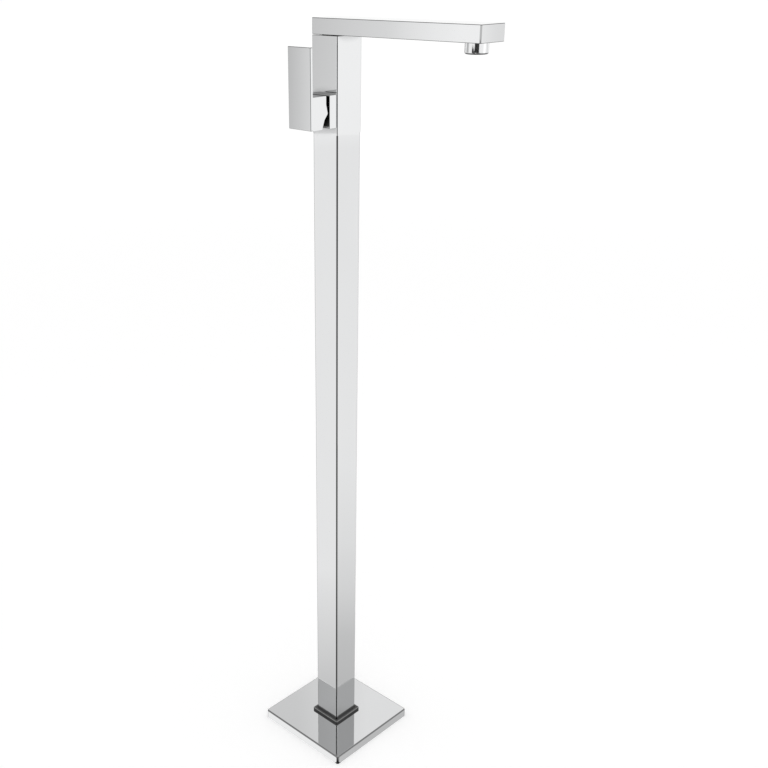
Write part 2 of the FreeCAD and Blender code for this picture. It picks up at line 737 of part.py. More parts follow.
def make_stem_rotor():
    """The turning guide of the stem: a drum in the housing and a neck that stands out of the nut."""
    lid_side = "%s + 2 * running_gap" % HOUSING_LID_REAR
    wide = drum("rotor_drum", "%s - 2 * slip_gap" % HOUSING_BORE, ROTOR_REAR, lid_side)
    neck = drum("rotor_neck", "rotor_neck_dia", lid_side, NECK_FRONT)
    solid = fuse("rotor_solid", wide, neck)
    slot_across = "(stem_thick + 2 * slip_gap)"
    slot = box(
        "rotor_slot",
        ("-%s / 2" % slot_across, NECK_FRONT, "%s - slot_rise / 2" % AXIS_LEVEL),
        (slot_across, "%s - %s" % (ROTOR_REAR, NECK_FRONT), "slot_rise"),
    )
    hole_start = "-rotor_neck_dia / 2"
    hole = cylinder(
        "rotor_pin_hole", "pivot_pin_dia", "rotor_neck_dia", hole_start, PIVOT, AXIS_LEVEL, ACROSS
    )
    cut("stem_rotor", solid, slot, hole)
    pin_length = "(rotor_neck_dia - 4 * travel_gap)"
    cylinder("stem_pin", "pivot_pin_dia", pin_length, "-%s / 2" % pin_length, PIVOT, AXIS_LEVEL, ACROSS)


def make_lever_stem():
    """The stem turns on the pin: a ball at its inner end, a square shank for the hub at the other."""
    ball_depth = "(%s + stem_arm)" % PIVOT
    ball = doc.addObject("Part::Sphere", "stem_ball")
    ball.setExpression("Radius", full("stem_ball_dia / 2"))
    place(ball, "0", ball_depth, AXIS_LEVEL)
    waist = drum("stem_waist", "stem_waist_dia", ball_depth, PIVOT)
    arm_rear = "(%s + stem_arm / 2)" % PIVOT
    arm = box(
        "stem_arm_block",
        ("-stem_thick / 2", SHANK_REAR, "%s - stem_thick / 2" % AXIS_LEVEL),
        ("stem_thick", "%s - %s" % (arm_rear, SHANK_REAR), "stem_thick"),
    )
    shank = box(
        "stem_shank_block",
        ("-stem_shank / 2", STEM_END, "%s - stem_shank / 2" % AXIS_LEVEL),
        ("stem_shank", "%s - %s" % (SHANK_REAR, STEM_END), "stem_shank"),
    )
    solid = fuse("stem_solid", ball, waist, arm, shank)
    hole_dia = "pivot_pin_dia + 2 * running_gap"
    hole = cylinder(
        "stem_pin_hole", hole_dia, "stem_thick", "-stem_thick / 2", PIVOT, AXIS_LEVEL, ACROSS
    )
    cut("lever_stem", solid, hole)


# ---------------------------------------------------------------- lever


def make_handle_hub():
    """The hub's rear face comes nearest the boss a little below its middle and slopes away below."""
    body = new_body("handle_hub")
    side = new_sketch(body, "hub_side", "YZ_Plane", "-lever_width / 2")
    top = "%s + boss_rise / 2" % AXIS_LEVEL
    bottom = "%s - boss_rise / 2" % AXIS_LEVEL
    nose_level = "%s - hub_nose_drop" % AXIS_LEVEL
    relief_level = "%s - hub_relief_drop" % AXIS_LEVEL
    outline(
        side,
        [
            (HUB_FRONT, bottom),
            ("%s - hub_foot_gap" % BOSS_FACE, bottom),
            ("%s - hub_relief_gap" % BOSS_FACE, relief_level),
            ("%s - hub_nose_gap" % BOSS_FACE, nose_level),
            ("%s - hub_gap" % BOSS_FACE, "%s + boss_rise / 4" % AXIS_LEVEL),
            ("%s - hub_gap" % BOSS_FACE, top),
            (HUB_FRONT, top),
        ],
    )
    pad(body, side, "hub_block", "lever_width")
    nose = lambda edge: runs_along(edge, 0) and at_level(edge, 2, nose_level)
    round_edges(body, "hub_nose", "hub_nose_gap", nose)
    recess = new_sketch(body, "hub_recess_plan", "XZ_Plane", "-(%s)" % BOSS_FACE)
    circle(recess, "hub_recess_dia", "0", AXIS_LEVEL)
    pocket(body, recess, "hub_recess", "hub_recess_depth")
    socket = new_sketch(body, "hub_socket_plan", "XZ_Plane", "-(%s)" % RECESS_FLOOR)
    hole = "(stem_shank + 2 * running_gap)"
    outline(
        socket,
        [
            ("-%s / 2" % hole, "%s - %s / 2" % (AXIS_LEVEL, hole)),
            ("%s / 2" % hole, "%s - %s / 2" % (AXIS_LEVEL, hole)),
            ("%s / 2" % hole, "%s + %s / 2" % (AXIS_LEVEL, hole)),
            ("-%s / 2" % hole, "%s + %s / 2" % (AXIS_LEVEL, hole)),
        ],
    )
    pocket(body, socket, "hub_socket", "%s - %s + running_gap" % (RECESS_FLOOR, STEM_END))
    for name, x in (("left", "-plate_screw_across"), ("right", "plate_screw_across")):
        plan = new_sketch(body, "hub_%s_screw_plan" % name, "XZ_Plane", "-(%s)" % RECESS_FLOOR)
        circle(plan, "plate_screw_dia + 2 * running_gap", x, AXIS_LEVEL)
        pocket(body, plan, "hub_%s_screw_hole" % name, "%s - %s" % (RECESS_FLOOR, HUB_FRONT))
    key = new_sketch(body, "hub_set_screw_plan", "XY_Plane", bottom)
    circle(key, "set_screw_dia + 2 * running_gap", "0", "%s - set_screw_back" % BOSS_FACE)
    pocket(body, key, "hub_set_screw_hole", "boss_rise / 2 - stem_shank / 2")
    return body


def make_handle_plate():
    body = new_body("handle_plate")
    face = new_sketch(body, "plate_face", "XZ_Plane", "-(%s)" % HUB_FRONT)
    top = "%s + plate_rise" % PLATE_BOTTOM
    outline(
        face,
        [
            ("-lever_width / 2", PLATE_BOTTOM),
            ("lever_width / 2", PLATE_BOTTOM),
            ("lever_width / 2", top),
            ("-lever_width / 2", top),
        ],
    )
    pad(body, face, "plate_block", "plate_thick")
    round_edges(body, "plate_corners", "plate_corner", lambda edge: runs_along(edge, 1))
    front = "%s - plate_thick" % HUB_FRONT
    round_edges(body, "plate_front_edge", "plate_edge_round", lambda edge: at_level(edge, 1, front))
    for name, x in (("left", "-plate_screw_across"), ("right", "plate_screw_across")):
        plan = new_sketch(body, "plate_%s_screw_plan" % name, "XZ_Plane", "-(%s)" % HUB_FRONT)
        circle(plan, "plate_screw_dia + 2 * running_gap", x, AXIS_LEVEL)
        pocket(body, plan, "plate_%s_screw_hole" % name, "plate_screw_bite")
    return body


def make_handle_screws():
    screws = []
    for name, x in (("left", "-plate_screw_across"), ("right", "plate_screw_across")):
        head_rear = "%s + plate_screw_head_rise" % RECESS_FLOOR
        tip = "%s - plate_screw_bite" % HUB_FRONT
        head = drum("plate_screw_%s_head" % name, "plate_screw_head_dia", head_rear, RECESS_FLOOR, x)
        shank = drum("plate_screw_%s_shank" % name, "plate_screw_dia", RECESS_FLOOR, tip, x)
        screws.append(fuse("plate_screw_" + name, head, shank))
    group("plate_screws", *screws)
    hub_bottom = "(%s - boss_rise / 2)" % AXIS_LEVEL
    screw_top = "(%s - stem_shank / 2)" % AXIS_LEVEL
    screw_bottom = "(%s - set_screw_reach)" % screw_top
    back = "%s - set_screw_back" % BOSS_FACE
    shank = cylinder("set_screw_shank", "set_screw_dia", "set_screw_reach", "0", back, screw_bottom)
    socket = cylinder("set_screw_socket", "grub_socket", "grub_socket_depth", "0", back, screw_bottom)
    cut("handle_set_screw", shank, socket)
    plug_rise = "%s - %s" % (screw_bottom, hub_bottom)
    cylinder("set_screw_plug", "set_screw_dia", plug_rise, "0", back, hub_bottom)


# ---------------------------------------------------------------- spout


def make_spout_shell():
    """A hollow bar with a threaded boss over the column and another over the nozzle."""
    length = "(spout_end_reach + spout_side / 2)"
    bar = box(
        "spout_bar",
        ("-spout_side / 2", "-spout_side / 2", SPOUT_UNDER),
        (length, "spout_side", "spout_thick"),
    )
    corners = soften("spout_bar_corners", bar, "spout_corner", upright)
    flat = lambda edge: at_level(edge, 2, SPOUT_UNDER) or at_level(edge, 2, "overall_height")
    eased = soften("spout_bar_eased", corners, "spout_edge_round", flat)
    inner = "spout_side - 2 * spout_wall"
    inner_start = "-spout_side / 2 + spout_wall"
    hollow = box(
        "spout_hollow",
        (inner_start, inner_start, "%s + spout_wall" % SPOUT_UNDER),
        ("%s - 2 * spout_wall" % length, inner, "spout_thick - 2 * spout_wall"),
    )
    shell = cut("spout_bar_hollow", eased, hollow)
    socket_top = "(spout_wall + socket_boss_rise)"
    tail_boss = cylinder("spout_tail_boss", "socket_boss_dia", socket_top, z=SPOUT_UNDER)
    ledge = "(nozzle_thread_rise + nozzle_seal_thick)"
    nozzle_boss = cylinder(
        "spout_nozzle_boss", "nozzle_boss_dia", "%s + spout_wall" % ledge, "nozzle_reach", z=SPOUT_UNDER
    )
    solid = fuse("spout_solid", shell, tail_boss, nozzle_boss)
    neck_hole_dia = "spout_neck_dia + 2 * running_gap"
    tail_hole = cylinder("spout_tail_hole", neck_hole_dia, socket_top, z=SPOUT_UNDER)
    thread_dia = "nozzle_thread_dia + 2 * running_gap"
    thread = cylinder("spout_nozzle_thread", thread_dia, ledge, "nozzle_reach", z=SPOUT_UNDER)
    way = cylinder(
        "spout_nozzle_way", "nozzle_mouth", "%s + spout_wall" % ledge, "nozzle_reach", z=SPOUT_UNDER
    )
    cut("spout_shell", solid, tail_hole, thread, way)


def make_spout_tail():
    """The tail turns in the block; its groove runs only as far round as the spout may turn."""
    drop = cylinder("tail_drop", "spout_tail_dia", "spout_tail_drop", z=TAIL_END)
    neck = cylinder("tail_neck", "spout_neck_dia", "spout_wall + socket_boss_rise", z=SPOUT_UNDER)
    solid = fuse("tail_solid", drop, neck)
    length = "spout_tail_drop + spout_wall + socket_boss_rise"
    tools = [cylinder("tail_bore_way", "spout_tail_bore", length, z=TAIL_END)]
    rings = []
    band_dia = "spout_tail_dia + cut_overrun"
    ring_outside = "(spout_tail_dia + running_gap)"
    floor_dia = "(%s - 2 * o_ring_wire)" % ring_outside
    for name, level in (("upper", "upper_ring_drop"), ("lower", "lower_ring_drop")):
        middle = "%s - %s" % (SPOUT_UNDER, level)
        width = "(o_ring_wire + 4 * slip_gap)"
        band_level = "%s - %s / 2" % (middle, width)
        outside = cylinder("tail_%s_band" % name, band_dia, width, z=band_level)
        core = cylinder("tail_%s_core" % name, floor_dia, width, z=band_level)
        tools.append(cut("tail_%s_groove" % name, outside, core))
        middle_dia = "%s - o_ring_wire" % ring_outside
        rings.append(ring("spout_%s_o_ring" % name, middle_dia, "o_ring_wire", z=middle))
    width = "(stop_screw_dia + 2 * travel_gap)"
    groove_level = "%s - %s / 2" % (STOP_LEVEL, width)
    half_turn = "(swivel_half_turn * 1 deg + asin(%s / 2 / %s))" % (width, GROOVE_RADIUS)
    band = cylinder("tail_stop_band", band_dia, width, z=groove_level, turn=Rotation(UPWARD, 90))
    band.setExpression("Angle", full("2 * %s" % half_turn))
    band.setExpression("Placement.Rotation.Angle", full("180 deg - %s" % half_turn))
    core = cylinder("tail_stop_core", "2 * %s" % GROOVE_RADIUS, width, z=groove_level)
    tools.append(cut("tail_stop_groove", band, core))
    cut("spout_tail", solid, *tools)
    group("spout_o_rings", *rings)


def make_seam_parts():
    """The washer that the spout turns on, and the screw that keeps its tail in the block."""
    disc = cylinder("washer_disc", "washer_dia", "seam_gap - running_gap", z=BODY_TOP)
    hole = cylinder("washer_hole", "spout_tail_dia + 2 * slip_gap", "seam_gap - running_gap", z=BODY_TOP)
    cut("swivel_washer", disc, hole)
    length = "body_side / 2 - %s - travel_gap" % GROOVE_RADIUS
    grub_screw("spout_stop_screw", "-body_side / 2", "0", STOP_LEVEL, ACROSS, length, "stop_screw_dia")


# ---------------------------------------------------------------- nozzle


def make_nozzle():
    x = "nozzle_reach"
    cup = cylinder("nozzle_cup", "nozzle_dia", "nozzle_rise", x, z=NOZZLE_BOTTOM)
    rim = lambda edge: at_level(edge, 2, NOZZLE_BOTTOM)
    eased = soften("nozzle_cup_eased", cup, "nozzle_edge_round", rim)
    neck = cylinder("nozzle_neck", "nozzle_thread_dia", "nozzle_thread_rise", x, z=SPOUT_UNDER)
    solid = fuse("nozzle_solid", eased, neck)
    seat = "(%s + nozzle_lip)" % NOZZLE_BOTTOM
    bore = cylinder("nozzle_bore_way", "nozzle_bore", "%s - %s" % (NOZZLE_SEAL_LEVEL, seat), x, z=seat)
    mouth = cylinder("nozzle_mouth_way", "nozzle_mouth", "nozzle_lip", x, z=NOZZLE_BOTTOM)
    cut("aerator_housing", solid, bore, mouth)
    core = cylinder("insert_core", "nozzle_bore - 2 * running_gap", "insert_rise", x, z=seat)
    ways = []
    for circle_number, (count, middle) in enumerate(((6, "insert_pitch"), (12, "2 * insert_pitch"))):
        for step in range(count):
            turn = step * 2 * math.pi / count
            hole_x = "nozzle_reach + %s * %.6f" % (middle, math.cos(turn))
            hole_y = "%s * %.6f" % (middle, math.sin(turn))
            name = "insert_way_%d_%d" % (circle_number, step)
            ways.append(cylinder(name, "insert_hole", "insert_rise", hole_x, hole_y, seat))
    ways.append(cylinder("insert_way_middle", "insert_hole", "insert_rise", x, z=seat))
    cut("aerator_insert", core, *ways)
    seal_thick = "nozzle_seal_thick"
    washer = cylinder("nozzle_seal_disc", "nozzle_thread_dia", seal_thick, x, z=NOZZLE_SEAL_LEVEL)
    hole = cylinder("nozzle_seal_hole", "nozzle_mouth", seal_thick, x, z=NOZZLE_SEAL_LEVEL)
    cut("aerator_seal", washer, hole)


NODES = [
    "floor_flange",
    "column_spigot",
    "column_tube",
    "column_foot_screws",
    "column_head_screws",
    "floor_cover_plate",
    "cover_seal_collar",
    "hot_inlet_union",
    "cold_inlet_union",
    "hot_supply_pipe",
    "cold_supply_pipe",
    "hot_pipe_tail",
    "cold_pipe_tail",
    "pipe_tail_seals",
    "mixer_body",
    "cartridge_port_seals",
    "cartridge_base",
    "fixed_ceramic_disc",
    "moving_ceramic_disc",
    "disc_carrier",
    "cartridge_housing",
    "cartridge_nut",
    "stem_rotor",
    "stem_pin",
    "lever_stem",
    "handle_hub",
    "handle_plate",
    "plate_screws",
    "handle_set_screw",
    "set_screw_plug",
    "spout_shell",
    "spout_tail",
    "spout_o_rings",
    "swivel_washer",
    "spout_stop_screw",
    "aerator_housing",
    "aerator_insert",
    "aerator_seal",
]

make_floor_flange()
make_column_spigot()
make_column_tube()
make_column_screws()
make_floor_cover_plate()
make_cover_seal_collar()
make_supplies()
make_mixer_body()
make_cartridge_base()
make_ceramic_discs()
make_cartridge_housing()
make_stem_rotor()
make_lever_stem()
make_handle_hub()
make_handle_plate()
make_handle_screws()
make_spout_shell()
make_spout_tail()
make_seam_parts()
make_nozzle()
doc.recompute()

for item in doc.Objects:
    if "Invalid" in item.State or "Error" in item.State:
        raise ValueError(item.Name + " did not recompute")

os.makedirs("parts", exist_ok=True)
for node in NODES:
    item = doc.getObject(node)
    item.Label = node
    shape = item.Shape
    if shape.isNull() or not shape.isValid():
        raise ValueError(node + " has no valid shape")
    shape.exportStep("parts/%s.step" % node)
    print(node, len(shape.Solids), round(shape.Volume, 1), shape.BoundBox)
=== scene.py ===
import math

import bpy
from mathutils import Matrix, Vector

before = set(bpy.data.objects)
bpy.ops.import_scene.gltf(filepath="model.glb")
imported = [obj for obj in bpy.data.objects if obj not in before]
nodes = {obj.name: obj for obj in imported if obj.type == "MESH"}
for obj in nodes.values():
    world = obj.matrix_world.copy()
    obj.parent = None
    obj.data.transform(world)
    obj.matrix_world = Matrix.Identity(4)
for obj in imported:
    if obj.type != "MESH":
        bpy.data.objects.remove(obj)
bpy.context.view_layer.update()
scene = bpy.context.scene
scene.view_settings.view_transform = "Standard"

# The photograph's camera, in metres and degrees: +X and -Y of the column, a little above its top.
CAMERA_PLACE = (0.878362, -0.917486, 1.059746)
CAMERA_YAW = 45.204
CAMERA_PITCH = 24.138
CAMERA_ROLL = -0.54
CAMERA_FOCAL_PX = 1040.722
CAMERA_MIDDLE_PX = (312.397, 423.149)
CAMERA_NEAREST = 0.02
CAMERA_FARTHEST = 60.0
PICTURE_PX = 768
SENSOR_MM = 36.0


def make_camera():
    """A camera that looks the way the photograph was taken, shifted as its framing needs."""
    yaw, pitch, roll = (math.radians(a) for a in (CAMERA_YAW, CAMERA_PITCH, CAMERA_ROLL))
    ahead = Vector(
        (-math.sin(yaw) * math.cos(pitch), math.cos(yaw) * math.cos(pitch), -math.sin(pitch))
    )
    level = Vector((math.cos(yaw), math.sin(yaw), 0.0))
    above = level.cross(ahead)
    right = level * math.cos(roll) + above * math.sin(roll)
    up = above * math.cos(roll) - level * math.sin(roll)
    data = bpy.data.cameras.new("photo_camera")
    data.sensor_fit = "HORIZONTAL"
    data.sensor_width = SENSOR_MM
    data.lens = CAMERA_FOCAL_PX * SENSOR_MM / PICTURE_PX
    data.shift_x = (PICTURE_PX / 2 - CAMERA_MIDDLE_PX[0]) / PICTURE_PX
    data.shift_y = (CAMERA_MIDDLE_PX[1] - PICTURE_PX / 2) / PICTURE_PX
    data.clip_start = CAMERA_NEAREST
    data.clip_end = CAMERA_FARTHEST
    camera = bpy.data.objects.new("photo_camera", data)
    turn = Matrix((right, up, -ahead)).transposed().to_4x4()
    camera.matrix_world = Matrix.Translation(CAMERA_PLACE) @ turn
    scene.collection.objects.link(camera)
    scene.camera = camera


# ---------------------------------------------------------------- node trees

# ShaderNodeMix has a set of sockets for each kind of data, and these are the colours' own.
MIX_FIRST_COLOUR = 6
MIX_SECOND_COLOUR = 7
MIX_RESULT_COLOUR = 2

WHOLE = (0.0, 1.0)
MIDDLE = (0.3, 0.7)


class Nodes:
    """Adds and joins the nodes of one tree. Most calls return an output to join on from."""

    def __init__(self, tree):
        self.tree = tree

    def add(self, kind, **settings):
        """A new node, with each setting given to its input of that name or else to the node."""
        node = self.tree.nodes.new(kind)
        for key, setting in settings.items():
            if key in node.inputs:
                node.inputs[key].default_value = setting
            else:
                setattr(node, key, setting)
        return node

    def join(self, out, into):
        self.tree.links.new(out, into)

    def coordinate(self, kind):
        return self.add("ShaderNodeTexCoord").outputs[kind]

    def parts(self, vector):
        """The X, Y and Z outputs of a vector."""
        node = self.add("ShaderNodeSeparateXYZ")
        self.join(vector, node.inputs[0])
        return node.outputs

    def ramp(self, source, stops):
        """Shades or colours at places from 0 to 1, joined by straight lines."""
        node = self.add("ShaderNodeValToRGB")
        elements = node.color_ramp.elements
        while len(elements) < len(stops):
            elements.new(0.5)
        for element, (spot, shade) in zip(elements, stops):
            colour = shade if isinstance(shade, tuple) else (shade, shade, shade)
            element.position = spot
            element.color = (*colour, 1.0)
        self.join(source, node.inputs["Fac"])
        return node.outputs["Color"]

    def span(self, source, low, high, band=WHOLE):
        """A number that runs from low to high while the source runs through the band."""
        node = self.add("ShaderNodeMapRange")
        for key, number in zip(("From Min", "From Max", "To Min", "To Max"), (*band, low, high)):
            node.inputs[key].default_value = number
        self.join(source, node.inputs["Value"])
        return node.outputs["Result"]

    def rise(self, source, band):
        return self.span(source, 0.0, 1.0, band)

    def fall(self, source, band):
        return self.span(source, 1.0, 0.0, band)

    def maths(self, operation, *sources):
        node = self.add("ShaderNodeMath", operation=operation)
        for source, into in zip(sources, node.inputs):
            self.join(source, into)
        return node.outputs[0]

    def product(self, *sources):
        """All the numbers multiplied together."""
        result = sources[0]
        for source in sources[1:]:
            result = self.maths("MULTIPLY", result, source)
        return result

    def vector_maths(self, operation, *sources):
        """A node with both outputs of its kind, "Vector" and "Value"."""
        node = self.add("ShaderNodeVectorMath", operation=operation)
        for source, into in zip(sources, node.inputs):
            self.join(source, into)
        return node

    def length(self, vector):
        return self.vector_maths("LENGTH", vector).outputs["Value"]

    def scaled_colour(self, colour, shade):
        node = self.vector_maths("SCALE", colour)
        self.join(shade, node.inputs["Scale"])
        return node.outputs["Vector"]

    def noise(self, place, scale, detail=3.0, roughness=0.55):
        node = self.add("ShaderNodeTexNoise", Scale=scale, Detail=detail, Roughness=roughness)
        self.join(place, node.inputs["Vector"])
        return node.outputs["Fac"]

    def stretched(self, place, stretch):
        node = self.add("ShaderNodeMapping")
        node.inputs["Scale"].default_value = stretch
        self.join(place, node.inputs["Vector"])
        return node.outputs["Vector"]

    def mixed_colour(self, share, first, second):
        """The first colour mixed with a share of the second, which may also be a fixed colour."""
        node = self.add("ShaderNodeMix", data_type="RGBA")
        self.join(share, node.inputs["Factor"])
        self.join(first, node.inputs[MIX_FIRST_COLOUR])
        if isinstance(second, tuple):
            node.inputs[MIX_SECOND_COLOUR].default_value = second
        else:
            self.join(second, node.inputs[MIX_SECOND_COLOUR])
        return node.outputs[MIX_RESULT_COLOUR]

    def mixed_light(self, share, first, second):
        """The first shader mixed with a share of the second."""
        node = self.add("ShaderNodeMixShader")
        for source, into in zip((share, first, second), node.inputs):
            self.join(source, into)
        return node.outputs[0]

    def glow(self, colour):
        """Light of a colour, as strong as the colour is bright."""
        node = self.add("ShaderNodeEmission", Strength=1.0)
        self.join(colour, node.inputs["Color"])
        return node.outputs[0]


# ---------------------------------------------------------------- materials


def new_material(name):
    """A material with its tree, its shader and the place on the object that its detail follows."""
    material = bpy.data.materials.new(name)
    material.use_nodes = True
    tree = material.node_tree
    shader = tree.nodes["Principled BSDF"]
    tools = Nodes(tree)
    return material, tools, shader, tools.coordinate("Object")


def bump(tools, shader, height, depth, strength):
    """Dents the surface by a height, and returns the node, so that it can follow another."""
    node = tools.add("ShaderNodeBump", Strength=strength, Distance=depth)
    tools.join(height, node.inputs["Height"])
    tools.join(node.outputs["Normal"], shader.inputs["Normal"])
    return node


def finish(tools, shader, colour, marks, rough, band, depth, strength):
    """Gives a shader its colour, with marks that set its roughness over a band and dent it."""
    tools.join(colour, shader.inputs["Base Color"])
    tools.join(tools.span(marks, *rough, band), shader.inputs["Roughness"])
    bump(tools, shader, marks, depth, strength)


def from_dimmer(tint, share):
    """Stops of a ramp from a share of a tint to the tint itself."""
    return ((MIDDLE[0], tuple(part * share for part in tint)), (MIDDLE[1], tint))


# Rounded edges get painted shade in the chrome's colour, in place of the dark reflections along
# them. An edge is told by the largest part of the surface's direction, which is 1 on a flat face.
# An upright edge is told by the Z part alone, which is 0 there.
PAINTED_EDGE_SHADE = 0.12
EDGE_BAND = (0.94, 0.998)
UPRIGHT_EDGE_BAND = (0.02, 0.12)

# Gaps get painted shade in the chrome's colour, where real shade falls. A gap is told by the share
# of open sky that ambient occlusion finds within a reach. It has its darkest painted shade at
# GAP_CLOSED of open sky. NARROW_GAP and HINGE_GAP hold the reach in metres and the share at which
# the gap is as light as in the open.
PAINTED_GAP_SHADE = 0.08
GAP_CLOSED = 0.10
GAP_RAYS = 12
NARROW_GAP = (0.006, 0.42)
HINGE_GAP = (0.02, 0.72)

# The boss's front face lies at the first of these values of Y and its sides begin by the second.
# The face gets painted shade where it has little open sky, and is as light as in the open where it
# has most.
BOSS_FACE_BAND = (-0.0318, -0.0312)
BOSS_OPEN_BAND = (0.55, 0.97)


def painted_edge_shade(tools, facing, round_about_z, darkest, upright_edge):
    """Painted shade, one on flat faces and less on rounded edges, by the surface's direction on the
    object.
    """
    parts = tools.parts(facing)
    sizes = [tools.maths("ABSOLUTE", parts[axis]) for axis in "XYZ"]
    if round_about_z:
        squared = [tools.product(size, size) for size in sizes[:2]]
        across = tools.maths("SQRT", tools.maths("ADD", *squared))
    else:
        across = tools.maths("MAXIMUM", sizes[0], sizes[1])
    largest = tools.maths("MAXIMUM", across, sizes[2])
    shade = tools.span(largest, darkest, 1.0, EDGE_BAND)
    if upright_edge:
        upright = tools.span(sizes[2], upright_edge, 0.0, UPRIGHT_EDGE_BAND)
        shade = tools.maths("MAXIMUM", shade, upright)
    return shade


def painted_gap_shade(tools, reach, open_from, place, has_boss):
    """Painted shade: one in the open, dark deep inside a narrow gap and on the boss's face behind
    the hub.
    """
    node = tools.add("ShaderNodeAmbientOcclusion", Distance=reach, samples=GAP_RAYS)
    open_sky = node.outputs["AO"]
    shade = tools.span(open_sky, PAINTED_GAP_SHADE, 1.0, (GAP_CLOSED, open_from))
    if not has_boss:
        return shade
    off_boss = tools.span(tools.parts(place)["Y"], PAINTED_GAP_SHADE, 1.0, BOSS_FACE_BAND)
    in_open = tools.rise(open_sky, BOSS_OPEN_BAND)
    return tools.product(shade, tools.maths("MAXIMUM", off_boss, in_open))


def crown(tools, place, curve):
    """The slight crown that grinding and polishing leave across a flat plate."""
    across = tools.parts(place)["X"]
    lift = tools.add("ShaderNodeBump", Strength=1.0, Distance=curve, invert=True)
    tools.join(tools.product(across, across), lift.inputs["Height"])
    return lift.outputs["Normal"]


# How a noise's scale runs along X, Y and Z: marks are drawn out where it is small.
EVEN = (1.0, 1.0, 1.0)
ALONG_Z = (1.0, 1.0, 0.06)
ALONG_X = (0.06, 1.0, 1.0)

CHROME_TINT = (0.835, 0.84, 0.845)
CHROME_DIMMEST = 0.985
CHROME_WAVE_DEPTH = 0.00004
CHROME_WAVE_STRENGTH = 0.15
POLISH_CHANGE = (0.75, 1.25)
WIPES_BAND = (0.35, 0.7)
MIRROR = (0.015, 0.05)


def make_chrome(
    name,
    stretch,
    rough=MIRROR,
    round_about_z=False,
    gap=NARROW_GAP,
    curve=0.0,
    has_boss=False,
    edge=PAINTED_EDGE_SHADE,
    upright_edge=0.0,
):
    """Polished plate: a nearly even mirror, with faint wiping marks and slow changes of polish.

    stretch draws the wiping marks out, and rough is its roughness between and on them. The base
    colour carries painted shade: edge is the painted shade of a rounded edge, in place of the dark
    reflections there, and upright_edge the least painted shade of one that stands upright. gap and
    has_boss set the painted shade in gaps. curve is how steeply its crown falls off, in metres for
    each square metre from its middle.
    """
    material, tools, shader, place = new_material(name)
    shader.inputs["Metallic"].default_value = 1.0
    slow = tools.noise(place, scale=9.0, detail=2.0)
    wipes = tools.noise(tools.stretched(place, stretch), scale=160.0, detail=4.0, roughness=0.6)
    colour = tools.ramp(slow, from_dimmer(CHROME_TINT, CHROME_DIMMEST))
    # The base colour is darkened with painted shade on rounded edges and in gaps.
    edges = painted_edge_shade(tools, tools.coordinate("Normal"), round_about_z, edge, upright_edge)
    gaps = painted_gap_shade(tools, *gap, place, has_boss)
    shade = tools.product(edges, gaps)
    tools.join(tools.scaled_colour(colour, shade), shader.inputs["Base Color"])
    polish = tools.product(
        tools.span(slow, *POLISH_CHANGE, MIDDLE), tools.span(wipes, *rough, WIPES_BAND)
    )
    tools.join(polish, shader.inputs["Roughness"])
    height = tools.noise(place, scale=30.0, detail=1.0)
    wave = bump(tools, shader, height, CHROME_WAVE_DEPTH, CHROME_WAVE_STRENGTH)
    if curve:
        tools.join(crown(tools, place, curve), wave.inputs["Normal"])
    return material


GRAIN_SCALE = 900.0
GRAIN_DEPTH = 0.00005
GRAIN_STRENGTH = 0.5


def make_rubber(name, shade):
    """Dark moulded rubber with a fine grain."""
    material, tools, shader, place = new_material(name)
    grain = tools.noise(place, GRAIN_SCALE)
    slow = tools.noise(place, scale=40.0, detail=2.0)
    colour = tools.ramp(slow, ((0.3, shade * 0.8), (0.75, shade * 1.5)))
    rough = (0.42, 0.62)
    finish(tools, shader, colour, grain, rough, WHOLE, GRAIN_DEPTH, GRAIN_STRENGTH)
    return material


# The collar's rim and the slope inside it, in metres out from the column's middle, and how pale
# each is painted: a painted highlight along the rim, and on the slope painted light that rises
# outwards from painted shade next to the column. Both show only where the surface faces upwards.
COLLAR_RIM_BAND = (0.0236, 0.0242)
COLLAR_RIM_HIGHLIGHT = (0.0, 0.28)
COLLAR_SLOPE_BAND = (0.0204, 0.0237)
COLLAR_SLOPE_LIGHT = (0.008, 0.085)
COLLAR_UPWARD_BAND = (0.15, 0.5)
# The shade where nothing is painted lighter, and how it varies from patch to patch.
COLLAR_BASE = (0.012, 0.024)
COLLAR_PATCHES = ((0.2, 0.94), (0.8, 1.0))


def make_collar_rubber(name):
    """Black moulded rubber, painted paler outwards from the column, with a painted highlight on its
    rim.
    """
    material, tools, shader, place = new_material(name)
    grain = tools.noise(place, GRAIN_SCALE)
    slow = tools.noise(place, scale=60.0, detail=2.0)
    parts = tools.parts(place)
    outwards = tools.maths("MAXIMUM", *(tools.maths("ABSOLUTE", parts[axis]) for axis in "XY"))
    upward = tools.rise(tools.parts(tools.coordinate("Normal"))["Z"], COLLAR_UPWARD_BAND)
    # Painted highlight on the rim, and painted light on the slope that grows away from the column.
    rim = tools.product(tools.span(outwards, *COLLAR_RIM_HIGHLIGHT, COLLAR_RIM_BAND), upward)
    slope = tools.product(tools.span(outwards, *COLLAR_SLOPE_LIGHT, COLLAR_SLOPE_BAND), upward)
    painted_light = tools.maths("MAXIMUM", rim, slope)
    level = tools.maths("ADD", painted_light, tools.span(slow, *COLLAR_BASE))
    colour = tools.scaled_colour(tools.ramp(slow, COLLAR_PATCHES), level)
    rough = (0.26, 0.36)
    finish(tools, shader, colour, grain, rough, WHOLE, GRAIN_DEPTH, GRAIN_STRENGTH)
    return material


MARK_DEPTH = 0.00003
MARK_STRENGTH = 0.4
PLASTIC_DIMMEST = 0.94


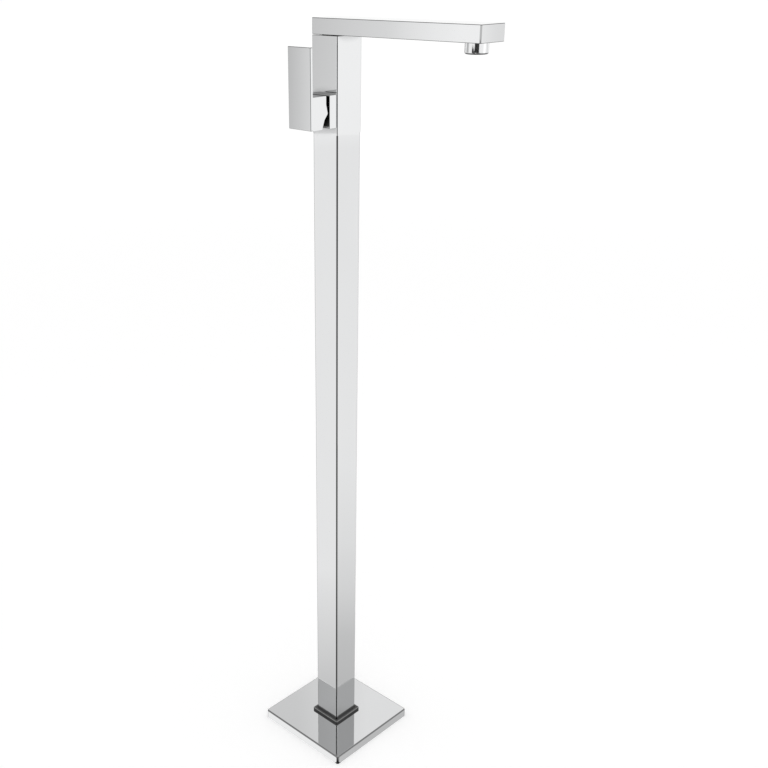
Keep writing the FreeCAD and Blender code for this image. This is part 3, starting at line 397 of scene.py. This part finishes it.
def make_plastic(name, tint, rough, grain_scale):
    """Moulded plastic or lapped ceramic with an even, fine grain."""
    material, tools, shader, place = new_material(name)
    slow = tools.noise(place, scale=60.0, detail=2.0)
    grain = tools.noise(place, scale=grain_scale)
    colour = tools.ramp(slow, from_dimmer(tint, PLASTIC_DIMMEST))
    finish(tools, shader, colour, grain, rough, MIDDLE, MARK_DEPTH, MARK_STRENGTH)
    return material


def make_metal(name, tint, dull, rough, stretch=EVEN):
    """Worked metal inside: turning or drawing marks, a little tarnish between brighter patches."""
    material, tools, shader, place = new_material(name)
    shader.inputs["Metallic"].default_value = 1.0
    marks = tools.noise(tools.stretched(place, stretch), scale=220.0, detail=4.0, roughness=0.6)
    patches = tools.noise(place, scale=35.0)
    colour = tools.ramp(patches, ((0.32, dull), (0.68, tint)))
    finish(tools, shader, colour, marks, rough, MIDDLE, MARK_DEPTH, MARK_STRENGTH)
    return material


chrome_upright = make_chrome("chrome_upright", ALONG_Z)
chrome_hinge = make_chrome("chrome_hinge", ALONG_Z, gap=HINGE_GAP)
chrome_block = make_chrome("chrome_block", ALONG_Z, gap=HINGE_GAP, has_boss=True)
chrome_plate = make_chrome("chrome_plate", ALONG_Z, curve=0.72)
chrome_level = make_chrome("chrome_level", ALONG_X, upright_edge=0.55)
chrome_cover = make_chrome("chrome_cover", ALONG_X, rough=(0.02, 0.06), edge=0.32)
chrome_nozzle = make_chrome("chrome_nozzle", EVEN, rough=(0.03, 0.08), round_about_z=True)
zinc = make_metal("zinced_steel", (0.66, 0.67, 0.68), (0.52, 0.53, 0.55), (0.28, 0.45))
steel = make_metal("screw_steel", (0.50, 0.50, 0.51), (0.36, 0.36, 0.37), (0.22, 0.40))
copper = make_metal("drawn_copper", (0.80, 0.45, 0.30), (0.55, 0.28, 0.18), (0.18, 0.34), ALONG_Z)
brass = make_metal("turned_brass", (0.80, 0.62, 0.32), (0.62, 0.46, 0.22), (0.18, 0.34))
rubber = make_rubber("seal_rubber", 0.022)
collar_rubber = make_collar_rubber("collar_rubber")
plastic = make_plastic("pale_plastic", (0.80, 0.80, 0.77), (0.30, 0.45), grain_scale=400.0)
ceramic = make_plastic("lapped_ceramic", (0.86, 0.86, 0.83), (0.12, 0.22), grain_scale=900.0)

MATERIAL_OF = {
    chrome_upright: ("column_tube", "set_screw_plug"),
    chrome_hinge: ("handle_hub",),
    chrome_block: ("mixer_body",),
    chrome_plate: ("handle_plate",),
    chrome_level: ("spout_shell",),
    chrome_cover: ("floor_cover_plate",),
    chrome_nozzle: ("aerator_housing",),
    zinc: ("floor_flange", "column_spigot"),
    steel: (
        "column_foot_screws",
        "column_head_screws",
        "plate_screws",
        "handle_set_screw",
        "spout_stop_screw",
        "stem_pin",
    ),
    copper: ("hot_supply_pipe", "cold_supply_pipe"),
    brass: (
        "hot_inlet_union",
        "cold_inlet_union",
        "hot_pipe_tail",
        "cold_pipe_tail",
        "cartridge_nut",
        "lever_stem",
        "spout_tail",
    ),
    collar_rubber: ("cover_seal_collar",),
    rubber: (
        "pipe_tail_seals",
        "cartridge_port_seals",
        "spout_o_rings",
        "aerator_seal",
    ),
    plastic: (
        "cartridge_base",
        "cartridge_housing",
        "stem_rotor",
        "disc_carrier",
        "swivel_washer",
        "aerator_insert",
    ),
    ceramic: ("fixed_ceramic_disc", "moving_ceramic_disc"),
}

SMOOTH_BELOW = math.radians(32)


def dress_nodes():
    """Gives each solid its material, and smooth shading over its rounded edges."""
    for material, names in MATERIAL_OF.items():
        for name in names:
            item = nodes[name]
            item.data.materials.clear()
            item.data.materials.append(material)
            for face in item.data.polygons:
                face.material_index = 0
            bpy.context.view_layer.objects.active = item
            item.select_set(True)
            bpy.ops.object.shade_smooth_by_angle(angle=SMOOTH_BELOW)
            item.select_set(False)


# ---------------------------------------------------------------- studio


def ground_sheet(name, reach, level):
    """A level square about the origin that reaches so far each way."""
    mesh = bpy.data.meshes.new(name)
    corners = [(x * reach, y * reach, level) for x, y in ((-1, -1), (1, -1), (1, 1), (-1, 1))]
    mesh.from_pydata(corners, [], [(0, 1, 2, 3)])
    sheet = bpy.data.objects.new(name, mesh)
    scene.collection.objects.link(sheet)
    return sheet


def seen_rays(tools):
    """One for rays from the camera, from a gloss and through glass."""
    path = tools.add("ShaderNodeLightPath")
    first = tools.maths("MAXIMUM", path.outputs["Is Camera Ray"], path.outputs["Is Glossy Ray"])
    return tools.maths("MAXIMUM", first, path.outputs["Is Transmission Ray"])


def only_metal_sees(item):
    """Leaves an object to the reflections alone."""
    item.visible_camera = False
    item.visible_diffuse = False
    item.visible_shadow = False
    item.visible_transmission = False


def glow_material(name):
    """A material of light alone, with its tree cleared for it."""
    material = bpy.data.materials.new(name)
    material.use_nodes = True
    tree = material.node_tree
    tree.nodes.remove(tree.nodes["Principled BSDF"])
    return material, Nodes(tree), tree.nodes["Material Output"].inputs["Surface"]


# The floor's glow rises over a band of distances from the origin, in metres.
FLOOR_REACH = 30.0
FLOOR_SHADE = 0.90
FLOOR_ROUGHNESS = 0.9
FLOOR_GLOW = (0.245, 0.37)
FLOOR_GLOW_BAND = (0.6, 5.0)


def make_floor():
    """A wide pale floor that the camera and the metal see lighter, and lighter still far off."""
    floor = ground_sheet("floor", FLOOR_REACH, 0.0)
    material, tools, shader, place = new_material("studio_floor")
    shader.inputs["Base Color"].default_value = (FLOOR_SHADE, FLOOR_SHADE, FLOOR_SHADE, 1.0)
    shader.inputs["Roughness"].default_value = FLOOR_ROUGHNESS
    shader.inputs["Specular IOR Level"].default_value = 0.0
    lift = tools.span(tools.length(place), *FLOOR_GLOW, FLOOR_GLOW_BAND)
    glow = tools.add("ShaderNodeEmission")
    tools.join(tools.product(lift, seen_rays(tools)), glow.inputs["Strength"])
    lit = tools.add("ShaderNodeAddShader")
    tools.join(shader.outputs[0], lit.inputs[0])
    tools.join(glow.outputs[0], lit.inputs[1])
    tools.join(lit.outputs[0], material.node_tree.nodes["Material Output"].inputs["Surface"])
    floor.data.materials.append(material)


BOARD_REACH = 6.0
BOARD_LEVEL = 0.0005

# The board's shades from its middle outwards, in shares of its reach, to the camera's left and to
# its right. Near the middle they are a painted shadow of the foot, which only the metal mirrors.
# The one passes into the other by the cosine of the angle to the right.
BOARD_LEFT = (
    (0.0, 0.65),
    (0.0167, 0.65),
    (0.0375, 0.77),
    (0.075, 0.925),
    (0.867, 0.925),
    (1.0, 1.0),
)
BOARD_RIGHT = (
    (0.0, 0.57),
    (0.0178, 0.57),
    (0.0375, 0.62),
    (0.061, 0.76),
    (0.09, 0.85),
    (0.15, 0.925),
    (0.867, 0.925),
    (1.0, 1.0),
)
RIGHT_AZIMUTH = 135.0
BOARD_SIDES_BAND = (-0.5, 0.5)

# A dark wedge of painted shade for the metal to mirror lies towards the camera, with a clear slit
# down its middle, from just outside the floor plate to a little way off. Its edges and the slit's
# are cosines of the angle to the camera.
CAMERA_AZIMUTH = 45.0
WEDGE_SHADE = 0.28
WEDGE_BAND = (0.80, 0.88)
SLIT_BAND = (0.990, 0.994)
WEDGE_END_BAND = (0.60, 0.66)
WEDGE_START_BAND = (0.126, 0.136)

# A thin dark line of painted shade runs towards the camera, to a little past the floor plate's
# corner.
CORNER_SHADE = 0.04
CORNER_BAND = (0.9988, 0.9994)
CORNER_END_BAND = (0.126, 0.130)

# A bright strip of painted light, which the floor plate's sides mirror, lies along the floor
# plate's edge on the lever's side, between these values of Y, and ends at these distances from the
# origin.
STRIP_COLOUR = (0.98, 0.98, 0.98, 1.0)
STRIP_OUTER_BAND = (-0.0862, -0.0852)
STRIP_INNER_BAND = (-0.072, -0.070)
STRIP_END_BAND = (0.13, 0.14)


def towards(tools, place, azimuth):
    """The cosine of the angle between a place's direction from the origin and an azimuth."""
    aim = math.radians(azimuth)
    direction = tools.vector_maths("NORMALIZE", place).outputs["Vector"]
    node = tools.vector_maths("DOT_PRODUCT", direction)
    node.inputs[1].default_value = (math.sin(aim), -math.cos(aim), 0.0)
    return node.outputs["Value"]


def make_floor_board():
    """A grey board on the floor for the metal alone, darker near the foot and to the camera with
    painted shade.
    """
    board = ground_sheet("floor_board", BOARD_REACH, BOARD_LEVEL)
    only_metal_sees(board)
    material, tools, surface = glow_material("floor_board")
    place = tools.coordinate("Object")
    radius = tools.length(place)
    reach = tools.rise(radius, (0.0, BOARD_REACH))
    right_share = tools.rise(towards(tools, place, RIGHT_AZIMUTH), BOARD_SIDES_BAND)
    sides = tools.mixed_colour(
        right_share, tools.ramp(reach, BOARD_LEFT), tools.ramp(reach, BOARD_RIGHT)
    )

    facing = towards(tools, place, CAMERA_AZIMUTH)
    wedge = tools.product(
        tools.rise(facing, WEDGE_BAND),
        tools.fall(facing, SLIT_BAND),
        tools.fall(radius, WEDGE_END_BAND),
        tools.rise(radius, WEDGE_START_BAND),
    )
    corner = tools.product(tools.rise(facing, CORNER_BAND), tools.fall(radius, CORNER_END_BAND))
    dark = tools.product(
        tools.span(wedge, 1.0, WEDGE_SHADE), tools.span(corner, 1.0, CORNER_SHADE)
    )

    across = tools.parts(place)["Y"]
    strip = tools.product(
        tools.rise(across, STRIP_OUTER_BAND),
        tools.fall(across, STRIP_INNER_BAND),
        tools.fall(radius, STRIP_END_BAND),
    )
    shade = tools.scaled_colour(tools.mixed_colour(strip, sides, STRIP_COLOUR), dark)
    tools.join(tools.glow(shade), surface)
    board.data.materials.append(material)


WORLD_LIGHT = 0.72
# What is seen of the room, by the Z of the direction.
ROOM_SHADES = ((0.0, 1.0), (0.12, 1.0), (0.30, 0.78), (0.62, 0.70), (0.85, 0.50))


def make_world():
    """A pale room: an even soft light, seen as white at eye level and greyer overhead."""
    world = bpy.data.worlds.new("studio_world")
    scene.world = world
    world.use_nodes = True
    tools = Nodes(world.node_tree)
    light = world.node_tree.nodes["Background"]
    light.inputs["Color"].default_value = (1.0, 1.0, 1.0, 1.0)
    light.inputs["Strength"].default_value = WORLD_LIGHT
    room = tools.ramp(tools.parts(tools.coordinate("Generated"))["Z"], ROOM_SHADES)
    seen = tools.add("ShaderNodeBackground", Strength=1.0)
    tools.join(room, seen.inputs["Color"])
    surface = tools.mixed_light(seen_rays(tools), light.outputs[0], seen.outputs[0])
    tools.join(surface, world.node_tree.nodes["World Output"].inputs["Surface"])


def area_light(name, place, aim, size, power):
    """A rectangular lamp at a place, turned to its aim."""
    data = bpy.data.lights.new(name, "AREA")
    data.shape = "RECTANGLE"
    data.size, data.size_y = size
    data.energy = power
    lamp = bpy.data.objects.new(name, data)
    lamp.location = place
    lamp.rotation_mode = "QUATERNION"
    lamp.rotation_quaternion = (Vector(aim) - Vector(place)).to_track_quat("-Z", "Y")
    scene.collection.objects.link(lamp)


CARD_STEPS = 24


def studio_card(name, sweep, distance, levels, upward, across=None, soft=(0.0, 0.0)):
    """A curved card that stands round the object where only the metal sees it, as studios set them.

    sweep is its first and last azimuth in degrees, levels its lowest and highest edge, and upward
    its shades from bottom to top. across multiplies them from the first azimuth to the last, and
    soft has the share of its width over which its first and its last upright edge fade out.
    """
    rows = []
    for level in levels:
        for step in range(CARD_STEPS + 1):
            angle = math.radians(sweep[0] + (sweep[1] - sweep[0]) * step / CARD_STEPS)
            rows.append((math.sin(angle) * distance, -math.cos(angle) * distance, level))
    faces = [(i, i + 1, i + CARD_STEPS + 2, i + CARD_STEPS + 1) for i in range(CARD_STEPS)]
    mesh = bpy.data.meshes.new(name)
    mesh.from_pydata(rows, [], faces)
    layer = mesh.uv_layers.new(name="card")
    for loop in mesh.loops:
        row, column = divmod(loop.vertex_index, CARD_STEPS + 1)
        layer.data[loop.index].uv = (column / CARD_STEPS, row)
    card = bpy.data.objects.new(name, mesh)
    scene.collection.objects.link(card)
    only_metal_sees(card)
    material, tools, output = glow_material(name)
    place = tools.parts(tools.coordinate("UV"))
    shade = tools.ramp(place["Y"], upward)
    if across:
        wide = tools.ramp(place["X"], across)
        shade = tools.vector_maths("MULTIPLY", shade, wide).outputs["Vector"]
    surface = tools.glow(shade)
    if any(soft):
        clear = tools.add("ShaderNodeBsdfTransparent")
        stops = [(0.0, 0.0 if soft[0] else 1.0), (soft[0], 1.0), (1.0 - soft[1], 1.0)]
        stops.append((1.0, 0.0 if soft[1] else 1.0))
        cover = tools.ramp(place["X"], stops)
        surface = tools.mixed_light(cover, clear.outputs[0], surface)
    tools.join(surface, output)
    mesh.materials.append(material)


def even(shade):
    """Stops of a ramp that is one shade all along."""
    return ((0.0, shade), (1.0, shade))


# How far from the column's middle the cards stand, in metres.
NEAR = 0.62
MIDWAY = 1.0
BEHIND = 2.0
FAR = 2.2

BEHIND_SHADES = ((0.0, 0.5), (0.84, 0.5), (0.88, 0.08), (1.0, 0.08))
LEFT_SHADES = (
    (0.0, 0.70),
    (0.2, 0.66),
    (0.225, 0.40),
    (0.46, 0.46),
    (0.51, 0.53),
    (0.60, 0.53),
    (0.62, 0.47),
    (1.0, 0.47),
)
LEFT_ACROSS = ((0.0, 0.70), (0.57, 0.78), (0.715, 0.98), (0.78, 1.08), (0.95, 1.30))
RIGHT_LOW_ACROSS = ((0.0, 1.0), (0.44, 1.0), (0.50, 0.83), (1.0, 0.83))
RIGHT_HIGH_SHADES = ((0.0, 0.51), (0.26, 0.51), (0.3, 0.42), (1.0, 0.42))

# The order is name, azimuths, distance, levels and shades upwards. Then come the shades across
# and the softness of both upright edges, where a card has them.
CARDS = (
    ("card_near_left", (8.0, 41.0), NEAR, (0.0, 0.90), even(0.28), None, (0.35, 0.0)),
    ("card_near_right", (49.0, 82.0), NEAR, (0.0, 0.90), even(0.28), None, (0.0, 0.35)),
    ("card_near_upper", (8.0, 88.0), NEAR, (0.90, 0.931), even(0.03), None, (0.05, 0.05)),
    ("card_near_top", (33.0, 70.0), NEAR, (0.931, 0.95), even(0.03), None, (0.1, 0.1)),
    ("card_behind_left", (232.0, 256.0), BEHIND, (0.0, 0.88), BEHIND_SHADES, None, (0.3, 0.3)),
    ("card_behind_right", (194.0, 218.0), BEHIND, (0.0, 0.88), BEHIND_SHADES, None, (0.3, 0.3)),
    ("card_left", (-75.0, -33.0), FAR, (0.54, 2.6), LEFT_SHADES, LEFT_ACROSS, (0.25, 0.14)),
    ("card_right_low", (120.0, 160.0), FAR, (0.535, 1.25), even(1.02), RIGHT_LOW_ACROSS),
    ("card_right_high", (112.0, 158.0), FAR, (1.5, 2.6), RIGHT_HIGH_SHADES, None, (0.1, 0.1)),
    ("card_high_behind", (186.0, 228.0), FAR, (1.40, 2.3), even(0.86), None, (0.18, 0.18)),
    ("card_soft_box", (98.0, 122.0), MIDWAY, (0.0, 1.3), even(1.28), None, (0.2, 0.2)),
)

make_camera()
dress_nodes()
make_floor()
make_world()
area_light(
    "top_light", place=(0.3, -0.2, 3.0), aim=(0.0, 0.0, 0.4), size=(2.6, 2.6), power=16.0
)
make_floor_board()
for card_settings in CARDS:
    studio_card(*card_settings)
